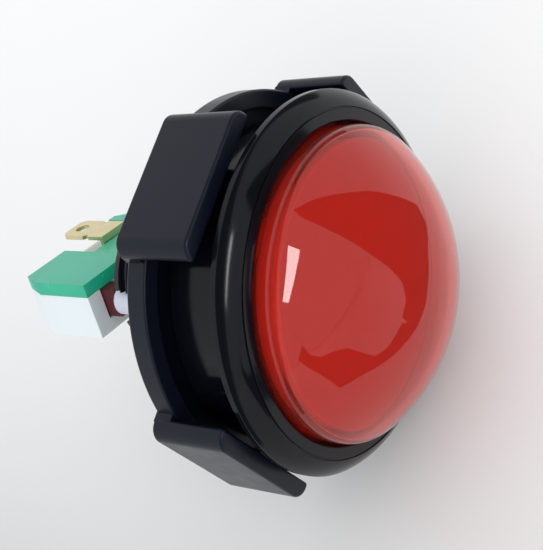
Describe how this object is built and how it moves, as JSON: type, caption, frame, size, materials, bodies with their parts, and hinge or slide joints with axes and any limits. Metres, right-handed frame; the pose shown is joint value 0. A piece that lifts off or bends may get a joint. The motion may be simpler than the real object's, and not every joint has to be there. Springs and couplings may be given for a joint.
{
  "type": "panel push button",
  "caption": "Black illuminated dome push button with a clear red dome, a four-lug clamping nut and a green and white microswitch behind",
  "frame": {"origin": "On the button axis, at the seat of the bezel on the panel.", "axes": "Z runs along the button axis towards the dome, X along the long side of the microswitch, Y towards its green cover."},
  "size_m": [0.0646, 0.0646, 0.0799],
  "materials": {
    "bezel_black": "moulded black ABS, polished bezel",
    "nut_black": "moulded black nylon, satin",
    "dome_red": "clear red polycarbonate, polished",
    "diffuser_white": "milky diffuser",
    "plunger_white": "white acetal",
    "spring_steel": "spring wire",
    "holder_black": "moulded black nylon",
    "lamp_body": "white lamp body",
    "lamp_lens": "clear lamp lens",
    "brass": "tinned brass",
    "case_white": "white moulded case",
    "cover_green": "translucent green cover",
    "actuator_red": "dark red phenolic",
    "rocker_copper": "copper alloy strip",
    "silver": "silver contact"
  },
  "bodies": {
    "mounting_body": {"housing": "bezel_black", "lamp_holder": "holder_black", "lamp_base": "lamp_body", "lamp_lens": "lamp_lens", "lamp_contact_front": "brass", "lamp_contact_back": "brass", "switch_case": "case_white", "switch_cover": "cover_green", "terminal_common": "brass", "terminal_no": "brass", "terminal_nc": "brass", "contact_no": "silver", "contact_nc": "silver", "return_spring": "spring_steel"},
    "button": {"dome_lens": "dome_red", "diffuser": "diffuser_white", "plunger": "plunger_white"},
    "actuator": {"switch_actuator": "actuator_red", "switch_spring": "spring_steel"},
    "rocker_arm": {"rocker": "rocker_copper", "moving_contact": "silver"},
    "clamping_nut": {"nut": "nut_black"}
  },
  "joints": [
    {"name": "press", "type": "slide", "parent": "mounting_body", "child": "button", "axis": [0, 0, -1], "range_m": [0, 0.0022], "stiffness_N_per_m": 900, "springref_m": -0.003, "deforming": ["return_spring"]},
    {"name": "switch_press", "type": "slide", "parent": "mounting_body", "child": "actuator", "axis": [0, 0, -1], "range_m": [0, 0.0022], "deforming": ["switch_spring"]},
    {"name": "rocker_tilt", "type": "hinge", "parent": "mounting_body", "child": "rocker_arm", "pos_m": [0.0015, 0, -0.0479], "axis": [0, -1, 0], "range_deg": [0, 3.6]},
    {"name": "nut_travel", "type": "slide", "parent": "mounting_body", "child": "clamping_nut", "axis": [0, 0, -1], "range_m": [0, 0.0155]}
  ],
  "couplings": [
    {"joint": "switch_press", "follows": "press", "ratio": 1},
    {"joint": "rocker_tilt", "follows": "press", "rad_per_m": 28.5}
  ]
}
